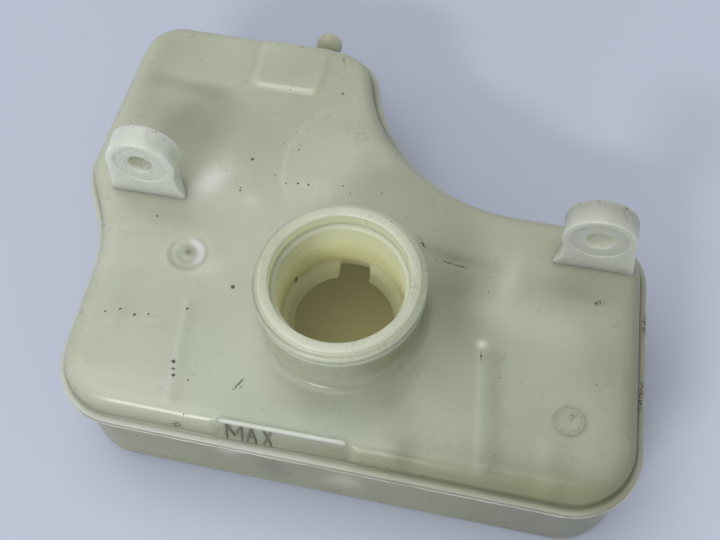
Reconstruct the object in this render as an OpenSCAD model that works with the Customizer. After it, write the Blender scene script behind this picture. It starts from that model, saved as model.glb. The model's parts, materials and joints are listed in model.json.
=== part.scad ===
// Fluid reservoir for a brake system: a shallow moulded tank with a wide filler neck,
// two ears to hang it by and a hose spigot at the back.
// Upper and lower shell meet face to face at the weld plane, inside an outward flange.
// The origin is on the resting face, below the neck's axis. +X is right, +Y back, +Z up.

/* [Tank outline] */
// Neck axis to the flange's left edge, at the widest part
reach_left = 100.4; // [85:1:125]
// Neck axis to the flange's right edge
reach_right = 98.4; // [85:1:125]
// Neck axis to the flange's front edge
reach_front = 48.4; // [40:1:60]
// Neck axis to the flange's back edge
reach_back = 108.8; // [90:1:135]
// How far the left side steps in at the waist
waist_in = 13.2; // [4:0.2:16]
// How far the front edge leans back towards its left end
front_lean = 2.4; // [0:0.2:4]
// How far the left arm's back edge leans forwards towards its right end
back_lean = 1.2; // [0:0.2:3]
// How far the left side leans in towards the back
left_lean = 4; // [0:0.5:8]
// Where the waist starts, behind the neck axis
waist_y = 15.4; // [8:1:20]
// Where the left side reaches its full width again
shoulder_y = 39.6; // [34:1:48]
// Back edge of the right arm, behind the neck axis
arm_back = 50; // [46:1:62]
// Left end of the right arm's back edge, from the neck axis
notch_x = 2.6; // [-6:1:12]
// How far the left arm's right side leans to the left
notch_lean = 12.4; // [4:1:16]
// How far the right side leans in towards the back
right_lean = 6.6; // [0:1:10]
// Radius of the two front corners
front_r = 22; // [14:1:26]
// Radius of the right arm's back corner
arm_r = 20; // [14:1:24]
// Radius of the hollow between the two arms
notch_r = 57; // [30:1:60]
// Radius of the left arm's right corner
back_r = 18.4; // [12:0.2:20]
// Radius of the left arm's left corner
far_r = 16.2; // [12:0.2:20]
// Radius of the left shoulder
shoulder_r = 24; // [14:1:30]
// Radius of the waist's hollow
waist_r = 44; // [20:1:50]

/* [Shells] */
// Height of the weld plane above the resting face
seam_h = 38; // [20:1:45]
// Height of the upper shell above the weld plane
top_h = 10; // [9:0.5:14]
// Wall thickness of both shells
wall = 2.5; // [2:0.25:3]
// Width of the weld flange outside the wall
flange_w = 3; // [2:0.5:4]
// Thickness of each shell's flange
flange_t = 2; // [1.5:0.25:2.5]
// Radius of the upper shell's top edge
top_edge_r = 6; // [4:0.5:6]
// Radius of the lower shell's bottom edge
bottom_edge_r = 4; // [3:0.5:9]
// Draft of the lower shell's wall, over its height
draft = 0.5; // [0:0.25:1.5]

/* [Filler neck] */
// Height of the rim above the tank's top
neck_h = 25; // [20:1:32]
// Outer radius of the neck's wall
neck_r = 24; // [22:0.5:29]
// Thickness of the neck's wall
neck_wall = 4.5; // [3:0.5:5]
// Width of the seat for the cap's seal, inside the rim
seat_w = 1.5; // [0.5:0.25:2.5]
// Depth of the seal seat below the rim
seat_depth = 5; // [3:0.5:7]
// How far the thread's crest stands out from the neck's wall
crest_out = 2; // [1:0.25:2.5]
// Length of the thread along the neck
crest_len = 4.6; // [2.5:0.1:6]
// Rim to the top of the thread
crest_drop = 1.8; // [1.8:0.2:5]
// Radius of the fillet where the neck meets the tank
neck_root_r = 3; // [1.5:0.5:4]
// How far the splash collar's lower lip stands inside the bore
collar_in = 4.3; // [2.5:0.1:6]
// Depth of the splash collar below the tank's top
collar_depth = 5; // [3:0.5:6]
// Thickness of the splash collar
collar_t = 1.8; // [1.2:0.2:2.4]
// Width of the slot in the splash collar
collar_slot = 9; // [5:0.5:12]

/* [Ears] */
// Flange's left edge to the left ear's hole
ear_inset_left = 27.2; // [24:0.1:34]
// Flange's right edge to the right ear's hole
ear_inset_right = 24.4; // [22:0.1:34]
// Right arm's back edge to the back face of the left ear
ear_back_left = 9.9; // [9.5:0.1:14]
// Right arm's back edge to the back face of the right ear
ear_back_right = 11.4; // [9.5:0.1:14]
// Thickness of the ears
ear_t = 8; // [6:0.2:10]
// Radius of the ears' round head
ear_r = 11.4; // [9:0.5:13]
// Height of the hole above the tank's top
ear_hole_h = 16.2; // [14:0.2:22]
// Radius of the hole
ear_hole_r = 4.2; // [3:0.1:5]
// Radius of the shallow seat round the hole
ear_seat_r = 8.8; // [7:0.2:9.6]
// Depth of that seat
ear_seat_depth = 0.6; // [0.3:0.1:1]
// How far the ear's inner side steps in below its round head
ear_waist_in = 1.2; // [0.4:0.2:2]
// How far the foot of its outer side stands out past the head
ear_splay = 1.6; // [0:0.2:2.4]
// How far the back of the inner side draws in behind the waist
ear_back_in = 1.5; // [0.5:0.1:3]
// How far the foot reaches past the waist, towards the neck
ear_foot = 2.8; // [1:0.2:6]
// Radius of the fillets along the ear's foot
ear_fillet = 0.8; // [0.5:0.1:2]

/* [Hose spigot] */
// Axis of the spigot left of the neck axis
spigot_x = 32; // [28:1:50]
// Depth of the spigot's axis below the weld plane
spigot_drop = 8.5; // [7.5:0.5:10]
// Length of the spigot outside the wall
spigot_len = 16; // [12:1:25]
// Outer radius of the spigot
spigot_r = 4.6; // [3.5:0.1:5]
// Radius of the spigot's bore
spigot_bore_r = 2.8; // [1.5:0.1:3]
// How far the bead at the tip stands out
bead_out = 0.4; // [0.2:0.1:0.8]

/* [Details] */
// Left edge of the raised pad, from the neck axis
pad_left = 51; // [45:1:60]
// Width of the raised pad on the back edge
pad_w = 24; // [15:1:26]
// Length of the raised pad, from the back wall forwards
pad_d = 23.6; // [12:0.2:28]
// How far the pad stands above the tank's top
pad_out = 0.9; // [0.5:0.1:2]
// Left end of the upright level panel in the front wall, from the neck axis
panel_left = 31; // [25:1:45]
// Length of the level panel
panel_w = 42; // [25:1:50]
// Flange's front edge to the level panel's top edge
panel_in = 7.1; // [6:0.1:8]
// How far the level panel's face leans back from its foot to its top edge
panel_slope = 2.6; // [1:0.1:3]
// Tank's top to the level panel's top edge
panel_drop = 0.2; // [0.1:0.1:1]
// Moulding gate left of the neck axis
gate_x = 54.3; // [45:1:65]
// Moulding gate behind the neck axis
gate_y = 12.7; // [5:1:25]
// Radius of the hollow round the moulding gate
gate_r = 6.2; // [3:0.2:7]
// Depth of the hollow round the moulding gate
gate_depth = 0.8; // [0.3:0.1:1.2]
// Thickness of the ribs inside
rib_t = 1.8; // [1.2:0.2:2.6]
// Gap between the lower shell's ribs and the weld plane
rib_drop = 3; // [2:0.5:8]
// Height of the upper shell's ribs
top_rib_h = 4; // [2:0.5:5]

/* [Hidden] */
$fn = 64;
// Facets on each corner of the outline, and on each rounded edge
CORNER_STEPS = 9;
EDGE_STEPS = 4;
// Small overlap of joined shapes, overrun of cuts, and how far a shape sinks into a wall
OVER = 1;
SINK = 0.5;
top_z = seam_h + top_h;
rim_z = top_z + neck_h;
ear_z = top_z + ear_hole_h;
inner_side = flange_w + wall;
inner_top_z = top_z - wall;
bore_r = neck_r - neck_wall;
mouth_r = bore_r + seat_w;
collar_r = bore_r - collar_in;
ear_waist = ear_r - ear_waist_in;
ear_tip = ear_waist + ear_foot;
ear_leg = ear_r + ear_splay;
spigot_h = seam_h - spigot_drop;
crest_r = neck_r + crest_out;
crest_z = rim_z - crest_drop - crest_len;
collar_top_r = bore_r - collar_t / 2;
back_wall_y = reach_back - flange_w;
spigot_root_r = spigot_drop - flange_t + SINK;
spigot_root_len = 5;
spigot_bevel = 0.4;
bead_len = 4;
pad_front = back_wall_y - pad_d;
panel_y = -reach_front + panel_in;
panel_foot = seam_h + flange_t;
rim_bevel = 0.6;
ear_sweep = 0.6;
gate_stub_r = gate_r / 4;
gate_stub_drop = gate_depth * 0.4;

// Ends of the ribs inside, seen from above. A rib that meets a wall ends outside it and
// is trimmed there
UPPER_RIBS = [
    [[43.4, -2.4], [48.9, -reach_front]],
    [[-47.3, -reach_front], [-51.3, -4.5]],
    [[-reach_left, -15.5], [-53.4, -11]],
    [[-reach_left, 17.5], [-64, 19.3]],
    [[-reach_left, 76.2], [-65.2, 79]]
];
LOWER_RIBS = [
    [[72.7, -27.8], [74.3, -reach_front]],
    [[15.7, -28], [15.7, -reach_front]],
    [[-31.5, -28], [-31.5, -reach_front]],
    [[43.5, 24.2], [42.2, arm_back]],
    [[-46.4, 58.9], [-50.8, 79.8]]
];

// Corners of the flange's outline before rounding, counterclockwise from the front left,
// each with its radius
CORNERS = [
    [-reach_left + waist_in, -reach_front + front_lean],
    [reach_right, -reach_front],
    [reach_right - right_lean, arm_back],
    [notch_x, arm_back],
    [notch_x - notch_lean, reach_back - back_lean],
    [-reach_left + left_lean, reach_back],
    [-reach_left, shoulder_y],
    [-reach_left + waist_in, waist_y]
];
RADII = [front_r, front_r, arm_r, notch_r, back_r, far_r, shoulder_r, waist_r];
COUNT = len(CORNERS);

// Shape of the outline: edges, turns and rounded corners
function side(i) = CORNERS[(i + 1) % COUNT] - CORNERS[i % COUNT];
function along(i) = side(i) / norm(side(i));
function left_of(v) = [-v[1], v[0]];
function turn(i) = let (a = along(i + COUNT - 1), b = along(i))
    atan2(a[0] * b[1] - a[1] * b[0], a * b);
function reach(i) = RADII[i % COUNT] * abs(tan(turn(i % COUNT) / 2));
// Two corners whose rounding would not fit on the side between them both shrink to fit it
function ease(i) = min(1, 0.99 * norm(side(i)) / (reach(i) + reach(i + 1)));
function corner_r(i) = RADII[i] * min(ease(i), ease(i + COUNT - 1));
function centre(i) = let (a = left_of(along(i + COUNT - 1)), b = left_of(along(i)))
    CORNERS[i] + sign(turn(i)) * corner_r(i) * (a + b) / (1 + a * b);

// A hollow quarter curve from [w, 0] up to [0, h], for fillets
function cove(w, h) = [for (k = [0:6]) let (a = 15 * k) [w * (1 - sin(a)), h * (1 - cos(a))]];
function reversed(points) = [for (k = [len(points) - 1:-1:0]) points[k]];

// The outline moved inwards by d: every corner keeps its centre, an outward corner's
// radius shrinks by d and a hollow's grows by d
function ring(d) = [
    for (i = [0:COUNT - 1], k = [0:CORNER_STEPS])
        let (s = sign(turn(i)), a = turn(i) * k / CORNER_STEPS, u = -s * left_of(along(i + COUNT - 1)))
            centre(i) + (corner_r(i) - s * d) * [u[0] * cos(a) - u[1] * sin(a), u[0] * sin(a) + u[1] * cos(a)]
];

// A solid from rings of the outline, each given as [distance inwards, height], lowest first.
// Every point of the outline is in view of the neck's axis, so its ends are fans from there
module stack(levels) {
    count = COUNT * (CORNER_STEPS + 1);
    last = len(levels) - 1;
    outline_points = [for (level = levels, p = ring(level[0])) [p[0], p[1], level[1]]];
    points = concat(outline_points, [[0, 0, levels[0][1]], [0, 0, levels[last][1]]]);
    low_mid = len(outline_points);
    sides = [
        for (j = [0:last - 1], k = [0:count - 1])
            let (a = j * count + k, b = j * count + (k + 1) % count)
                [a, a + count, b + count, b]
    ];
    bottom = [for (k = [0:count - 1]) [low_mid, k, (k + 1) % count]];
    top = [for (k = [0:count - 1]) [low_mid + 1, last * count + (k + 1) % count, last * count + k]];
    polyhedron(points, concat(sides, bottom, top), convexity = 8);
}

// Levels of an edge rounded inwards and up to the height z, from the wall at the inset d
function edge_up(d, z, r) = [
    for (k = [0:EDGE_STEPS])
        let (a = 90 * k / EDGE_STEPS)
            [d + r * (1 - cos(a)), z - r + r * sin(a)]
];

// The same for an edge that rounds down to the height z
function edge_down(d, z, r) = [
    for (k = [EDGE_STEPS:-1:0])
        let (a = 90 * k / EDGE_STEPS)
            [d + r * (1 - cos(a)), z + r - r * sin(a)]
];

// Tray of the upper shell: flange, low wall and rounded top edge
module upper_tray() {
    stack(concat(
        [[0, seam_h], [0, seam_h + flange_t], [flange_w, seam_h + flange_t]],
        edge_up(flange_w, top_z, top_edge_r)
    ));
}

// Space inside the upper shell, open to below
module upper_space() {
    stack(concat(
        [[inner_side, seam_h - OVER]],
        edge_up(inner_side, inner_top_z, top_edge_r - wall)
    ));
}

// Cup of the lower shell: rounded floor edge, drafted wall and flange
module lower_cup() {
    stack(concat(
        edge_down(flange_w + draft, 0, bottom_edge_r),
        [[flange_w, seam_h - flange_t], [0, seam_h - flange_t], [0, seam_h]]
    ));
}

// Space inside the lower shell, open to above
module lower_space() {
    stack(concat(
        edge_down(inner_side + draft, wall, bottom_edge_r - wall),
        [[inner_side, seam_h - flange_t], [inner_side, seam_h + OVER]]
    ));
}

// The shells drawn to the middle of their walls, which trims the ribs inside
module upper_middle() {
    half = wall / 2;
    stack(concat(
        [[flange_w + half, seam_h]],
        edge_up(flange_w + half, top_z - half, top_edge_r - half)
    ));
}

module lower_middle() {
    half = wall / 2;
    stack(concat(
        edge_down(flange_w + draft + half, half, bottom_edge_r - half),
        [[flange_w + half, seam_h]]
    ));
}

// Outside of the neck: root fillet, wall, thread crest and chamfered rim
module neck_outside() {
    rotate_extrude()
        polygon(concat(
            [[0, inner_top_z], [neck_r + neck_root_r, inner_top_z]],
            [for (p = cove(neck_root_r, neck_root_r)) [neck_r + p[0], top_z + p[1]]],
            [
                [neck_r, crest_z - crest_out],
                [crest_r, crest_z],
                [crest_r, crest_z + crest_len],
                [neck_r, crest_z + crest_len + crest_out / 2],
                [neck_r, rim_z - rim_bevel],
                [neck_r - rim_bevel, rim_z],
                [0, rim_z]
            ]
        ));
}

// Bore of the neck: mouth, seat for the seal, and the way into the tank
module neck_bore() {
    translate([0, 0, inner_top_z - OVER])
        cylinder(r = bore_r, h = neck_h + wall + OVER);
    translate([0, 0, rim_z - seat_depth])
        cylinder(r = mouth_r, h = seat_depth + OVER);
    translate([0, 0, rim_z - rim_bevel])
        cylinder(r1 = mouth_r, r2 = mouth_r + rim_bevel + OVER, h = rim_bevel + OVER);
}

// Splash collar: a ring that tapers inwards below the bore, with a slot at the back
module splash_collar() {
    difference() {
        rotate_extrude()
            polygon([
                [bore_r + SINK, inner_top_z + SINK],
                [bore_r, top_z],
                [collar_top_r - collar_t, top_z - OVER],
                [collar_r, top_z - collar_depth],
                [collar_r + collar_t, top_z - collar_depth],
                [collar_top_r, inner_top_z - SINK],
                [bore_r + SINK, inner_top_z - SINK]
            ]);
        translate([-collar_slot / 2, 0, top_z - collar_depth - OVER])
            cube([collar_slot, bore_r + OVER, collar_depth + 2 * OVER]);
    }
}

// Outline of an ear's leg below its hole, with the foot swept out towards +X
module leg_profile() {
    foot_y = -ear_hole_h;
    polygon(concat(
        [[-ear_leg, foot_y - 2 * OVER], [-ear_leg, foot_y], [-ear_r + ear_splay / 10, 0], [ear_waist, 0]],
        [for (p = reversed(cove(ear_foot, ear_hole_h * ear_sweep))) [ear_waist + p[0], foot_y + p[1]]],
        [[ear_tip, foot_y - 2 * OVER]]
    ));
}

// Wedge that trims the leg from its full reach at the front to less at the back
module leg_trim() {
    back = ear_waist - ear_back_in;
    deep = ear_t + ear_fillet + OVER;
    translate([0, 0, -ear_hole_h - 2 * OVER])
        linear_extrude(ear_hole_h + 2 * OVER)
            polygon([
                [ear_tip, OVER],
                [ear_tip + OVER, OVER],
                [ear_tip + OVER, deep],
                [back, deep],
                [back, ear_t]
            ]);
}

// Fillet along an ear's foot, on the side that +Y points to
module foot_fillet() {
    translate([-ear_leg, 0, -ear_hole_h])
        rotate([90, 0, 90])
            linear_extrude(ear_leg + ear_waist + ear_foot / 2)
                polygon(concat(
                    [[-OVER, -OVER], [ear_fillet, -OVER]],
                    cove(ear_fillet, ear_fillet),
                    [[-OVER, ear_fillet]]
                ));
}

// Leg of an ear: its outline at the ear's thickness, with a fillet front and back
module ear_leg_body() {
    difference() {
        union() {
            translate([0, ear_t, 0])
                rotate([90, 0, 0])
                    linear_extrude(ear_t)
                        leg_profile();
            mirror([0, 1, 0])
                foot_fillet();
            translate([0, ear_t, 0])
                foot_fillet();
        }
        leg_trim();
    }
}

// One ear on the tank's top, with its hole's axis at x, its back face at the given
// distance before the right arm's back edge, and its foot swept to the neck
module ear(x, inset) {
    translate([x, arm_back - inset - ear_t, ear_z])
        mirror([x > 0 ? 1 : 0, 0, 0])
            difference() {
                union() {
                    rotate([-90, 0, 0])
                        cylinder(r = ear_r, h = ear_t);
                    ear_leg_body();
                }
                rotate([-90, 0, 0])
                    translate([0, 0, -OVER])
                        cylinder(r = ear_hole_r, h = ear_t + 2 * OVER);
                rotate([90, 0, 0])
                    translate([0, 0, -ear_seat_depth])
                        cylinder(r = ear_seat_r, h = OVER + ear_seat_depth);
            }
}

// Raised pad: the tank's top lifted a little, inside an outline that runs past the back
module pad() {
    corner = 3;
    tuck = 0.4;
    low = top_z - top_edge_r;
    intersection() {
        translate([-pad_left + corner, pad_front + corner, low + OVER])
            linear_extrude(top_edge_r + pad_out)
                hull()
                    for (x = [0, pad_w - 2 * corner])
                        for (y = [0, pad_d])
                            translate([x, y])
                                circle(r = corner, $fn = 32);
        stack(concat(
            [[flange_w + tuck, low]],
            edge_up(flange_w + tuck, top_z + pad_out, top_edge_r)
        ));
    }
}

// A prism along the level panel, from its side view in [y, z]
module along_panel() {
    translate([-panel_left, 0, 0])
        rotate([90, 0, 90])
            linear_extrude(panel_w)
                children();
}

// Level panel: its sloping face ends in a crisp edge that stands out of the tank's rounded one
module level_panel() {
    back = panel_y + top_edge_r - OVER;
    along_panel()
        polygon([
            [panel_y - panel_slope, panel_foot],
            [back, panel_foot],
            [back, top_z - panel_drop],
            [panel_y, top_z - panel_drop]
        ]);
}

// Recess before the level panel's face, down to the flange
module panel_recess() {
    front = panel_y - panel_slope - flange_w;
    along_panel()
        polygon([
            [front, panel_foot],
            [panel_y - panel_slope, panel_foot],
            [panel_y, top_z - panel_drop],
            [panel_y, top_z + OVER],
            [front, top_z + OVER]
        ]);
}

// Hollow left round the moulding gate, with the gate's stub in its middle
module gate_hollow() {
    translate([-gate_x, gate_y, top_z - gate_depth])
        difference() {
            cylinder(r = gate_r, h = gate_depth + OVER);
            translate([0, 0, -OVER])
                cylinder(r = gate_stub_r, h = OVER + gate_depth - gate_stub_drop);
        }
}

// A straight rib of height h, from point a to point b, standing on the height z
module rib(a, b, z, h) {
    run = b - a;
    translate([a[0], a[1], z])
        rotate([0, 0, atan2(run[1], run[0])])
            translate([0, -rib_t / 2, 0])
                cube([norm(run), rib_t, h]);
}

// Ribs under the upper shell's top
module upper_ribs() {
    intersection() {
        for (r = UPPER_RIBS)
            rib(r[0], r[1], inner_top_z - top_rib_h, top_rib_h + wall);
        upper_middle();
    }
}

// Baffles on the lower shell's floor
module lower_ribs() {
    intersection() {
        for (r = LOWER_RIBS)
            rib(r[0], r[1], 0, seam_h - rib_drop);
        lower_middle();
    }
}

// Spigot's outside: swept root, barrel and a bead that tapers to the tip
module spigot_outside() {
    translate([-spigot_x, back_wall_y - wall, spigot_h])
        rotate([-90, 0, 0])
            rotate_extrude()
                polygon([
                    [0, -wall / 2],
                    [spigot_root_r, -wall / 2],
                    [spigot_root_r, wall / 2],
                    [spigot_r, wall + spigot_root_len],
                    [spigot_r, wall + spigot_len - bead_len],
                    [spigot_r + bead_out, wall + spigot_len - bead_len + bead_out],
                    [spigot_r + bead_out, wall + spigot_len - bead_len / 2],
                    [spigot_r - 2 * bead_out, wall + spigot_len - spigot_bevel],
                    [spigot_r - 2 * bead_out - spigot_bevel, wall + spigot_len],
                    [0, wall + spigot_len]
                ]);
}

// Bore of the spigot, through the wall and into the tank
module spigot_bore() {
    inside = 4;
    translate([-spigot_x, back_wall_y - wall - draft - inside, spigot_h])
        rotate([-90, 0, 0])
            cylinder(r = spigot_bore_r, h = inside + draft + wall + spigot_len + OVER);
}

module upper_shell() {
    color([0.78, 0.79, 0.66, 1])
        union() {
            difference() {
                union() {
                    upper_tray();
                    neck_outside();
                    pad();
                    level_panel();
                }
                upper_space();
                neck_bore();
                gate_hollow();
                panel_recess();
            }
            splash_collar();
            upper_ribs();
            ear(-reach_left + ear_inset_left, ear_back_left);
            ear(reach_right - ear_inset_right, ear_back_right);
        }
}

module lower_shell() {
    color([0.72, 0.73, 0.6, 1])
        difference() {
            union() {
                difference() {
                    union() {
                        lower_cup();
                        spigot_outside();
                    }
                    lower_space();
                }
                lower_ribs();
            }
            spigot_bore();
        }
}

upper_shell();
lower_shell();
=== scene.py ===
# %% [markdown]
# # A fluid reservoir in aged translucent plastic
#
# The tank is two moulded shells of polypropylene, welded along an outward flange. Its
# plan is an outline with two arms and a hollow between them, and a wide filler neck
# stands on the upper shell.
#
# Every surface here is a function of two numbers: an angle round the neck's axis, and a
# place along a section. That suits this tank because every point of its outline can be
# seen from the neck's axis, so one grid covers a whole shell without a pole or a seam.

import json

import bpy
import numpy as np
from mathutils import Matrix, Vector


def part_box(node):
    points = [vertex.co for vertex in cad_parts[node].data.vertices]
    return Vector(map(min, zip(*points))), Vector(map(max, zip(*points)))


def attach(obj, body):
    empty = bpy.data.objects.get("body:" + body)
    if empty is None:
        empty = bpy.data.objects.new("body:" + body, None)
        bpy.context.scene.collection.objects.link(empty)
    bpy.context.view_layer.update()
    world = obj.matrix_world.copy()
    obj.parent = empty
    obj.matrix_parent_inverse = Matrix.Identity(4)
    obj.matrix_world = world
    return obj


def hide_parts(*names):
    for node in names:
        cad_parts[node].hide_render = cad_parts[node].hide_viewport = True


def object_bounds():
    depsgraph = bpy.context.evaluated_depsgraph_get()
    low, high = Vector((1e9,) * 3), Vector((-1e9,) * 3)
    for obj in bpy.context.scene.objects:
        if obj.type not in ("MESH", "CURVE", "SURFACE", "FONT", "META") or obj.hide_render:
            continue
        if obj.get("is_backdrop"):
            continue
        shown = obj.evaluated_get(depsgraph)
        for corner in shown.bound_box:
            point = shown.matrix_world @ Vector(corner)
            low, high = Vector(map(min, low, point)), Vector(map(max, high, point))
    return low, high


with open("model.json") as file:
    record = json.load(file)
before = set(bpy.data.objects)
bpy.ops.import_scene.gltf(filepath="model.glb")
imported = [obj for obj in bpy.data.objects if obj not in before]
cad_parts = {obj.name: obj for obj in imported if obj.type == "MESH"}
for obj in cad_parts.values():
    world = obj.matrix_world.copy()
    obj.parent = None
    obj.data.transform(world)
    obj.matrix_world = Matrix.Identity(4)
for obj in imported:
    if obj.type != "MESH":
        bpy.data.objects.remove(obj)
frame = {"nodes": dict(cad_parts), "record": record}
cad_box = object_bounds()
scene = bpy.context.scene
MM = 0.001
print("nodes:", sorted(frame["nodes"]))

# %% [markdown]
# ## Rounded outlines
#
# The plan is drawn as eight corners, each with a radius. To move it inwards by a
# distance, every corner keeps its centre: an outward corner's radius shrinks by that
# distance and a hollow's radius grows by it. The same function rounds the corners of a
# section, where the ends stay open.

# %% Corners into arcs
TAU = 2 * np.pi


def unit(v):
    """Each row divided by its length."""
    return v / np.linalg.norm(v, axis=-1, keepdims=True)


def rounded(points, radii, steps=6, closed=False, inwards=0.0):
    """A polygon with arcs for corners. An arc's centre lies along the two sides' summed
    normals, at radius / (1 + cos of the turn), and its radius is lessened by inwards
    where the corner points outwards and increased where it is hollow."""
    p = np.asarray(points, float)
    before = unit(p - np.roll(p, 1, axis=0))
    after = unit(np.roll(p, -1, axis=0) - p)
    turn = np.arctan2(before[:, 0] * after[:, 1] - before[:, 1] * after[:, 0], (before * after).sum(1))
    side = np.where(turn >= 0, 1.0, -1.0)
    left = lambda v: np.stack([-v[:, 1], v[:, 0]], axis=1)
    r = np.asarray(radii, float)
    bisector = (left(before) + left(after)) / (1 + (before * after).sum(1))[:, None]
    centre = p + (side * r)[:, None] * bisector
    spoke = -side[:, None] * left(before)
    angle = turn[:, None] * np.linspace(0, 1, steps + 1)[None, :]
    c, s = np.cos(angle), np.sin(angle)
    ray = np.stack([spoke[:, :1] * c - spoke[:, 1:] * s, spoke[:, :1] * s + spoke[:, 1:] * c], axis=2)
    arcs = centre[:, None] + (r - side * inwards)[:, None, None] * ray
    if closed:
        return arcs.reshape(-1, 2)
    return np.concatenate([p[:1], arcs[1:-1].reshape(-1, 2), p[-1:]])


def densified(path, step):
    """The path with points added so that no straight stretch is longer than step."""
    counts = np.maximum(1, np.ceil(np.linalg.norm(np.diff(path, axis=0), axis=1) / step).astype(int))
    at = np.concatenate([i + np.arange(n) / n for i, n in enumerate(counts)] + [[len(path) - 1]])
    return np.stack([np.interp(at, np.arange(len(path)), path[:, i]) for i in (0, 1)], axis=1)

# %% [markdown]
# ## Plan of the tank
#
# The real tank is shaped round its neighbours in the engine bay: a waist on its left
# side and a deep hollow behind its right arm. The corners and radii are the ones the
# solid model is drawn with, in millimetres from the neck's axis. The heights come from
# the loaded frame, so the visual skin always meets it.

# %% Plan and heights
PLAN = [
    (-87.2, -46.0), (98.4, -48.4), (91.8, 50), (2.6, 50),
    (-9.8, 107.6), (-96.4, 108.8), (-100.4, 39.6), (-87.2, 15.4),
]
PLAN_RADII = [22, 22, 20, 57, 18.4, 16.2, 24, 44]
mounts = {m["name"]: np.array(m["pos_m"]) / MM for m in frame["record"]["mounts"]}
seam_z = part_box("lower_shell")[1][2] / MM
top_z = seam_z + 10
rim_z = top_z + 25
wall = 2.5
flange_w, flange_t = 3.0, 2.0
skin_in = 0.5  # from the plan's outline in to the flange's rim, behind the weld's bead


def plan_radius(theta, inwards):
    """Distance from the neck's axis to the plan, moved inwards, along the angle theta."""
    ring = rounded(PLAN, PLAN_RADII, steps=20, closed=True, inwards=inwards)
    ring = densified(np.concatenate([ring, ring[:1]]), 1.0)
    return np.interp(theta, np.arctan2(ring[:, 1], ring[:, 0]), np.hypot(ring[:, 0], ring[:, 1]), period=TAU)


def plan_angles(count):
    """Angles whose points are evenly spaced along the plan, by its running length."""
    ring = rounded(PLAN, PLAN_RADII, steps=20, closed=True, inwards=flange_w)
    loop = np.concatenate([ring, ring[:1]])
    run = np.concatenate([[0], np.cumsum(np.linalg.norm(np.diff(loop, axis=0), axis=1))])
    at = np.linspace(0, run[-1], count, endpoint=False)
    x, y = (np.interp(at, run, loop[:, i]) for i in (0, 1))
    return np.sort(np.arctan2(y, x))


print("seam at", round(float(seam_z), 2), "mm, rim at", round(float(rim_z), 2), "mm")

# %% [markdown]
# ## Grids into meshes
#
# A closed section carried round a closed path is a ring-shaped grid without ends. A
# section that starts and ends on the axis closes in two single points instead. Faces
# are turned outwards by the sign of the volume that they enclose.

# %% Mesh from a grid
def grid_faces(nu, ns, wrap_s):
    """Corner indices of the quads of a grid that is periodic in u, and in s if asked."""
    u = np.arange(nu)[:, None]
    s = np.arange(ns if wrap_s else ns - 1)[None, :]
    a = u * ns + s
    b = ((u + 1) % nu) * ns + s
    c = ((u + 1) % nu) * ns + (s + 1) % ns
    d = u * ns + (s + 1) % ns
    return np.stack([a, b, c, d], axis=2).reshape(-1, 4)


def enclosed(points, faces):
    """Sum over the faces of each corner triple's box product: positive if they face out."""
    p = points[faces]
    tri = np.einsum("ij,ij->i", p[:, 0], np.cross(p[:, 1], p[:, 2]))
    if faces.shape[1] == 4:
        tri = tri + np.einsum("ij,ij->i", p[:, 0], np.cross(p[:, 2], p[:, 3]))
    return tri.sum()


def make_piece(name, points, quads, tris=(), marks=None, sharp=40):
    """A mesh object at the origin from arrays in millimetres, with a value per point for
    each entry of marks. Edges that turn by more than sharp degrees stay crisp."""
    tris = np.asarray(tris, int).reshape(-1, 3)
    volume = enclosed(points, quads) + (enclosed(points, tris) if len(tris) else 0)
    if volume < 0:
        quads, tris = quads[:, ::-1], tris[:, ::-1]
    mesh = bpy.data.meshes.new(name)
    mesh.from_pydata((points * MM).tolist(), [], quads.tolist() + tris.tolist())
    mesh.polygons.foreach_set("use_smooth", np.ones(len(mesh.polygons), bool))
    mesh.set_sharp_from_angle(angle=np.radians(sharp))
    for key, values in (marks or {}).items():
        layer = mesh.attributes.new(key, "FLOAT", "POINT")
        layer.data.foreach_set("value", np.asarray(values, np.float32).ravel())
    mesh.update()
    piece = bpy.data.objects.new(name, mesh)
    scene.collection.objects.link(piece)
    print(name, "has", len(mesh.vertices), "points,", len(quads) * 2 + len(tris), "triangles")
    return piece


def ring_piece(name, grid, marks=None, sharp=40):
    """A piece whose grid is periodic both ways."""
    nu, ns = grid.shape[:2]
    return make_piece(name, grid.reshape(-1, 3), grid_faces(nu, ns, True), marks=marks, sharp=sharp)


def end_fans(nu, ns):
    """Triangles that close a grid's two ends onto the two points that follow its own."""
    u = np.arange(nu)
    v = (u + 1) % nu
    return np.concatenate([
        np.stack([v * ns, u * ns, np.full(nu, nu * ns)], axis=1),
        np.stack([u * ns + ns - 1, v * ns + ns - 1, np.full(nu, nu * ns + 1)], axis=1),
    ])


def capped_piece(name, grid, first, last, marks):
    """A piece whose grid is periodic in u, and closed by one point at each end of s."""
    nu, ns = grid.shape[:2]
    points = np.concatenate([grid.reshape(-1, 3), [first, last]])
    marks = {k: np.concatenate([np.ravel(m), [np.ravel(m)[0], np.ravel(m)[-1]]]) for k, m in marks.items()}
    return make_piece(name, points, grid_faces(nu, ns, False), end_fans(nu, ns), marks=marks)


def bundle(name, bars, inside):
    """Many closed bars in one mesh: each is a grid and the two points that close it."""
    points, quads, tris, used = [], [], [], 0
    for grid, first, last in bars:
        nu, ns = grid.shape[:2]
        points.append(np.concatenate([grid.reshape(-1, 3), [first, last]]))
        quads.append(grid_faces(nu, ns, False) + used)
        tris.append(end_fans(nu, ns) + used)
        used += nu * ns + 2
    points, quads, tris = (np.concatenate(rows) for rows in (points, quads, tris))
    return make_piece(name, points, quads, tris, marks={"inside": np.full(len(points), inside)})


def soft_step(x, low, high):
    """0 below low, 1 above high, and 3t^2 - 2t^3 between."""
    t = np.clip((x - low) / (high - low), 0, 1)
    return t * t * (3 - 2 * t)


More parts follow.
